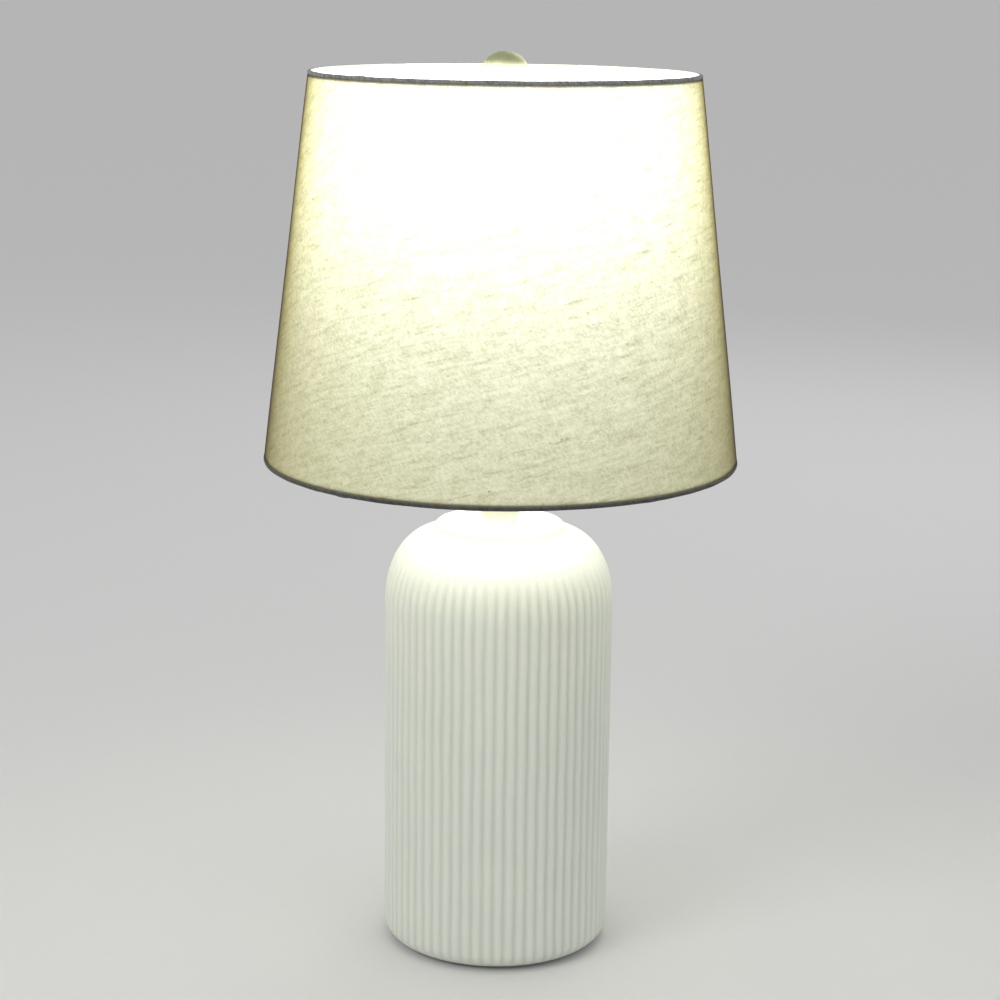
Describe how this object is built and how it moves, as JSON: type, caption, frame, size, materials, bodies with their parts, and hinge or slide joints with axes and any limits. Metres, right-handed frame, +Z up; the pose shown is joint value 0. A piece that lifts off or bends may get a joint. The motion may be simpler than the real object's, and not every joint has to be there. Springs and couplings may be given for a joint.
{
  "type": "table lamp",
  "caption": "Table lamp with a ribbed ceramic body, brass neck and bun finial, a tapered linen shade on a harp, and a screw socket with a rotary switch.",
  "frame": {"origin": "centre of the foot on the table, at the bottom centre of the bounding box", "axes": "+Z up the lamp's axis; the harp lies in the XZ plane; the switch knob points to -Y (front) and the cord bushing to +Y (rear)"},
  "size_m": [0.356, 0.356, 0.6815],
  "materials": {
    "ceramic": "satin",
    "champagne_brass": "satin",
    "yellow_brass": "satin",
    "zinc_steel": "satin",
    "screw_aluminium": "satin",
    "solder": "satin",
    "green_felt": "matte",
    "white_rubber": "matte",
    "white_bushing": "matte",
    "black_phenolic": "matte",
    "shaft_steel": "satin",
    "fibre": "matte",
    "bulb_white": "satin",
    "led_board": "satin",
    "diffuser": "matte",
    "linen": "matte",
    "linen_hem": "matte",
    "lining": "satin",
    "frame_wire": "satin"
  },
  "bodies": {
    "lamp_base": {"felt_pad": "green_felt", "base_plate": "zinc_steel", "base_lock_washer": "zinc_steel", "base_hex_nut": "zinc_steel", "ceramic_body": "ceramic", "cord_bushing": "white_bushing", "lamp_rod": "zinc_steel", "neck_washer": "white_rubber", "brass_neck": "champagne_brass", "harp_saddle": "yellow_brass", "saddle_lock_nut": "zinc_steel", "socket_cap": "yellow_brass", "socket_set_screw": "zinc_steel", "socket_shell": "yellow_brass", "socket_sleeve": "fibre", "socket_core": "black_phenolic", "screw_shell": "screw_aluminium", "centre_contact": "yellow_brass", "terminal_screws": "yellow_brass"},
    "switch": {"switch_rotor": "black_phenolic", "switch_shaft": "shaft_steel", "switch_knob": "black_phenolic"},
    "bulb_screw": {"bulb_cap": "screw_aluminium", "bulb_insulator": "black_phenolic", "bulb_contact": "solder"},
    "bulb_head": {"bulb_housing": "bulb_white", "bulb_globe": "diffuser", "bulb_led_board": "led_board"},
    "harp": {"harp_loop": "yellow_brass"},
    "ferrule_left": {"harp_ferrule_left": "yellow_brass"},
    "ferrule_right": {"harp_ferrule_right": "yellow_brass"},
    "harp_swivel": {"harp_stud": "yellow_brass"},
    "shade": {"shade_fabric": "linen", "shade_lining": "lining", "shade_top_hem": "linen_hem", "shade_bottom_hem": "linen_hem", "shade_top_ring": "frame_wire", "shade_bottom_ring": "frame_wire", "spider_hub": "frame_wire", "spider_arms": "frame_wire"},
    "finial_screw": {"finial_insert": "yellow_brass"},
    "finial_head": {"finial_ball": "champagne_brass"}
  },
  "joints": [
    {"name": "switch_knob_turn", "type": "hinge", "parent": "lamp_base", "child": "switch", "pos_m": [0, 0, 0.4195], "axis": [0, -1, 0], "continuous": true},
    {"name": "bulb_rise", "type": "slide", "parent": "lamp_base", "child": "bulb_screw", "axis": [0, 0, 1], "range_m": [0, 0.02541]},
    {"name": "bulb_turn", "type": "hinge", "parent": "bulb_screw", "child": "bulb_head", "pos_m": [0, 0, 0.5018], "axis": [0, 0, 1], "range_deg": [0, 2520]},
    {"name": "harp_lift", "type": "slide", "parent": "lamp_base", "child": "harp", "axis": [0, 0, 1], "range_m": [0, 0.025]},
    {"name": "ferrule_left_rise", "type": "slide", "parent": "harp", "child": "ferrule_left", "axis": [0, 0, 1], "range_m": [0, 0.014]},
    {"name": "ferrule_right_rise", "type": "slide", "parent": "harp", "child": "ferrule_right", "axis": [0, 0, 1], "range_m": [0, 0.014]},
    {"name": "shade_turn", "type": "hinge", "parent": "harp", "child": "harp_swivel", "pos_m": [0, 0, 0.6433], "axis": [0, 0, 1], "continuous": true},
    {"name": "shade_lift", "type": "slide", "parent": "harp_swivel", "child": "shade", "axis": [0, 0, 1], "range_m": [0, 0.283]},
    {"name": "finial_rise", "type": "slide", "parent": "shade", "child": "finial_screw", "axis": [0, 0, 1], "range_m": [0, 0.0106]},
    {"name": "finial_turn", "type": "hinge", "parent": "finial_screw", "child": "finial_head", "pos_m": [0, 0, 0.6687], "axis": [0, 0, 1], "range_deg": [0, 3960]}
  ],
  "couplings": [
    {"joint": "bulb_rise", "follows": "bulb_turn", "m_per_rad": 0.00057751},
    {"joint": "finial_rise", "follows": "finial_turn", "m_per_rad": 0.00014972}
  ]
}
